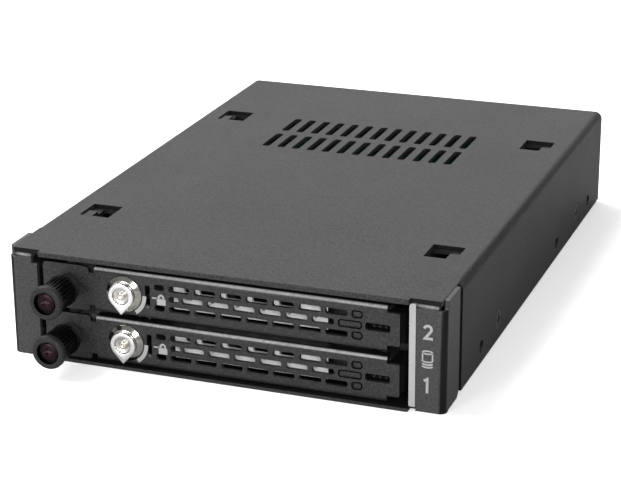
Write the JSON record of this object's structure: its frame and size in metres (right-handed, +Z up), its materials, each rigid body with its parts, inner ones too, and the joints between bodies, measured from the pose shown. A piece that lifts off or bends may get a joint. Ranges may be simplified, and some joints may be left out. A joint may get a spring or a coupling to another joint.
{
  "type": "hot swap drive cage",
  "caption": "Steel cage for a 3.5 inch bay, with slide-out trays for 2.5 inch drives, each held by a lever with a thumbscrew and a key lock.",
  "frame": {"origin": "on the underside, midway between the sides, in the plane of the front ears", "axes": "+X right and +Y towards the back seen from the front, +Z up"},
  "size_m": [0.1016, 0.1572, 0.0254],
  "materials": {
    "powder_coat": "black fine-textured powder coat on steel sheet",
    "zinc": "bright zinc plate on steel",
    "steel": "plain turned steel",
    "nickel": "satin nickel plate on die-cast zinc",
    "black_screw": "black oxide steel",
    "knob_black": "black anodised aluminium, knurled",
    "clear_plastic": "clear moulded acrylic",
    "board": "green solder mask on glass laminate",
    "port_plastic": "black moulded glass-filled plastic",
    "led": "clear light package"
  },
  "bodies": {
    "cage": {"top_cover": "powder_coat", "bottom_plate": "powder_coat", "floor_rivets": "zinc", "cover_screws": "black_screw", "left_ear": "powder_coat", "right_ear": "powder_coat", "light_bar": "clear_plastic", "light_guides": "clear_plastic", "guide_left": "zinc", "guide_right": "zinc", "backplane_board": "board", "rear_panel": "powder_coat", "board_spacers": "zinc", "board_screws": "zinc", "panel_screws": "black_screw", "status_lights": "led", "data_port_1": "port_plastic", "data_port_2": "port_plastic", "power_port": "port_plastic", "drive_socket_1": "port_plastic", "drive_socket_2": "port_plastic"},
    "tray_unit_1": {"tray_1": "zinc", "hinge_pin_1": "steel", "thumb_nut_1": "zinc"},
    "lever_1": {"faceplate_1": "powder_coat", "eject_hook_1": "powder_coat", "thumb_ferrule_1": "black_screw", "lock_barrel_1": "nickel", "lock_nut_1": "zinc"},
    "key_core_1": {"lock_core_1": "nickel", "lock_cam_1": "zinc", "cam_nut_1": "steel"},
    "screw_travel_1": {"retaining_ring_1": "steel"},
    "screw_turn_1": {"thumb_knob_1": "knob_black", "thumb_screw_1": "black_screw"},
    "tray_unit_2": {"tray_2": "zinc", "hinge_pin_2": "steel", "thumb_nut_2": "zinc"},
    "lever_2": {"faceplate_2": "powder_coat", "eject_hook_2": "powder_coat", "thumb_ferrule_2": "black_screw", "lock_barrel_2": "nickel", "lock_nut_2": "zinc"},
    "key_core_2": {"lock_core_2": "nickel", "lock_cam_2": "zinc", "cam_nut_2": "steel"},
    "screw_travel_2": {"retaining_ring_2": "steel"},
    "screw_turn_2": {"thumb_knob_2": "knob_black", "thumb_screw_2": "black_screw"}
  },
  "joints": [
    {"name": "tray_slide_1", "type": "slide", "parent": "cage", "child": "tray_unit_1", "axis": [0, -1, 0], "range_m": [0, 0.12]},
    {"name": "lever_swing_1", "type": "hinge", "parent": "tray_unit_1", "child": "lever_1", "pos_m": [0.0356, 0.004, 0.00613], "axis": [0, 0, 1], "range_deg": [0, 80]},
    {"name": "key_turn_1", "type": "hinge", "parent": "lever_1", "child": "key_core_1", "pos_m": [-0.0227, 0, 0.00613], "axis": [0, -1, 0], "range_deg": [0, 90]},
    {"name": "screw_travel_1", "type": "slide", "parent": "lever_1", "child": "screw_travel_1", "axis": [0, -1, 0], "range_m": [0, 0.0025]},
    {"name": "screw_turn_1", "type": "hinge", "parent": "screw_travel_1", "child": "screw_turn_1", "pos_m": [-0.0363, 0, 0.00613], "axis": [0, -1, 0], "range_deg": [0, 1800]},
    {"name": "tray_slide_2", "type": "slide", "parent": "cage", "child": "tray_unit_2", "axis": [0, -1, 0], "range_m": [0, 0.12]},
    {"name": "lever_swing_2", "type": "hinge", "parent": "tray_unit_2", "child": "lever_2", "pos_m": [0.0356, 0.004, 0.01773], "axis": [0, 0, 1], "range_deg": [0, 80]},
    {"name": "key_turn_2", "type": "hinge", "parent": "lever_2", "child": "key_core_2", "pos_m": [-0.0227, 0, 0.01773], "axis": [0, -1, 0], "range_deg": [0, 90]},
    {"name": "screw_travel_2", "type": "slide", "parent": "lever_2", "child": "screw_travel_2", "axis": [0, -1, 0], "range_m": [0, 0.0025]},
    {"name": "screw_turn_2", "type": "hinge", "parent": "screw_travel_2", "child": "screw_turn_2", "pos_m": [-0.0363, 0, 0.01773], "axis": [0, -1, 0], "range_deg": [0, 1800]}
  ],
  "couplings": [
    {"joint": "screw_turn_1", "follows": "screw_travel_1", "rad_per_m": 12566},
    {"joint": "screw_turn_2", "follows": "screw_travel_2", "rad_per_m": 12566}
  ]
}
